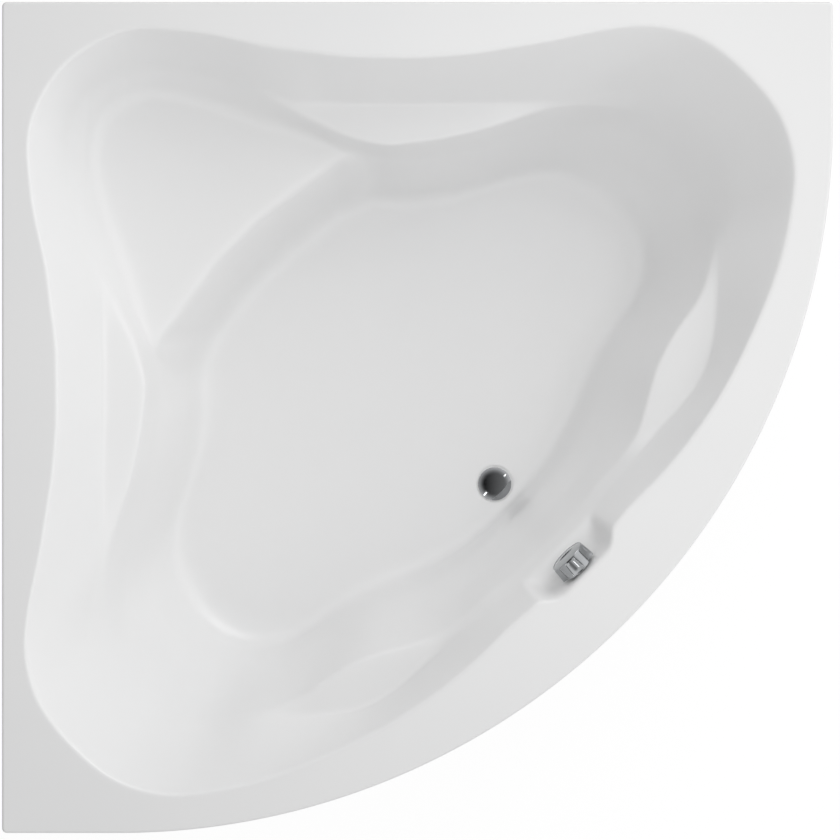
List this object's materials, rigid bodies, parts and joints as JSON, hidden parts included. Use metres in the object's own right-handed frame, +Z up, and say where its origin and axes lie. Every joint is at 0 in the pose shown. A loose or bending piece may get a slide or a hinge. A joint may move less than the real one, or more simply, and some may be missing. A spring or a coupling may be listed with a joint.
{
  "type": "corner bathtub",
  "caption": "Quarter-round corner bath with a corner seat, four moulded armrests, a pop-up waste worked by an overflow knob, a front panel and a steel frame.",
  "frame": {"origin": "centre of the square footprint, on the floor", "axes": "+Z up; +Y to the back wall, -X to the left wall; the rounded front faces +X and -Y"},
  "size_m": [1.5, 1.5, 0.59],
  "materials": {
    "acrylic": "polished sanitary acrylic",
    "glassfibre": "rough chopped-strand glass fibre in cured resin",
    "chipboard": "raw chipboard sealed with thin resin",
    "steel_frame": "black powder coat",
    "zinc_steel": "bright zinc plating",
    "foot_plastic": "moulded black plastic",
    "timber": "planed softwood",
    "chrome": "polished chrome plating",
    "drain_plastic": "moulded white polypropylene",
    "rubber": "black rubber seal",
    "hose_plastic": "grey flexible plastic"
  },
  "bodies": {
    "tub": {"tub_shell": "acrylic", "glassfibre_backing": "glassfibre", "base_board": "chipboard", "frame_rail_left": "steel_frame", "frame_rail_right": "steel_frame", "frame_cross_rear": "steel_frame", "frame_cross_middle": "steel_frame", "rim_post_left": "steel_frame", "rim_post_right": "steel_frame", "post_caps": "foot_plastic", "board_screws": "zinc_steel", "rail_nuts": "zinc_steel", "rim_batten_left": "timber", "rim_batten_back": "timber", "wall_bracket_left_1": "zinc_steel", "wall_bracket_left_2": "zinc_steel", "wall_bracket_back_1": "zinc_steel", "wall_bracket_back_2": "zinc_steel", "front_panel": "acrylic", "panel_clips": "zinc_steel", "panel_stays": "zinc_steel", "waste_flange": "chrome", "waste_seal": "rubber", "waste_body": "drain_plastic", "trap_cup": "drain_plastic", "trap_nut": "drain_plastic", "outlet_pipe": "drain_plastic", "outlet_nut": "drain_plastic", "overflow_face": "chrome", "overflow_seal": "rubber", "overflow_body": "drain_plastic", "overflow_hose": "hose_plastic", "control_cable": "hose_plastic"},
    "knob": {"overflow_knob": "chrome", "knob_spindle": "zinc_steel"},
    "plug": {"plug_cap": "chrome", "plug_stem": "zinc_steel", "plug_seal": "rubber"},
    "lift_pin": {"lift_pin": "zinc_steel"},
    "foot_1": {"foot_pad_1": "foot_plastic", "foot_rod_1": "zinc_steel", "foot_lock_nut_1": "zinc_steel"},
    "foot_2": {"foot_pad_2": "foot_plastic", "foot_rod_2": "zinc_steel", "foot_lock_nut_2": "zinc_steel"},
    "foot_3": {"foot_pad_3": "foot_plastic", "foot_rod_3": "zinc_steel", "foot_lock_nut_3": "zinc_steel"},
    "foot_4": {"foot_pad_4": "foot_plastic", "foot_rod_4": "zinc_steel", "foot_lock_nut_4": "zinc_steel"},
    "foot_5": {"foot_pad_5": "foot_plastic", "foot_rod_5": "zinc_steel", "foot_lock_nut_5": "zinc_steel"}
  },
  "joints": [
    {"name": "knob_turn", "type": "hinge", "parent": "tub", "child": "knob", "pos_m": [0.29374, -0.27394, 0.547], "axis": [-0.689, 0.689, 0.225], "range_deg": [0, 90]},
    {"name": "plug_lift", "type": "slide", "parent": "tub", "child": "plug", "axis": [0, 0, 1], "range_m": [0, 0.01]},
    {"name": "pin_lift", "type": "slide", "parent": "tub", "child": "lift_pin", "axis": [0, 0, 1], "range_m": [0, 0.01]},
    {"name": "foot_level_1", "type": "slide", "parent": "tub", "child": "foot_1", "axis": [0, 0, 1], "range_m": [-0.02, 0.012]},
    {"name": "foot_level_2", "type": "slide", "parent": "tub", "child": "foot_2", "axis": [0, 0, 1], "range_m": [-0.02, 0.012]},
    {"name": "foot_level_3", "type": "slide", "parent": "tub", "child": "foot_3", "axis": [0, 0, 1], "range_m": [-0.02, 0.012]},
    {"name": "foot_level_4", "type": "slide", "parent": "tub", "child": "foot_4", "axis": [0, 0, 1], "range_m": [-0.02, 0.012]},
    {"name": "foot_level_5", "type": "slide", "parent": "tub", "child": "foot_5", "axis": [0, 0, 1], "range_m": [-0.02, 0.012]}
  ],
  "couplings": [
    {"joint": "plug_lift", "follows": "knob_turn", "m_per_rad": 0.00636},
    {"joint": "pin_lift", "follows": "knob_turn", "m_per_rad": 0.00636}
  ]
}
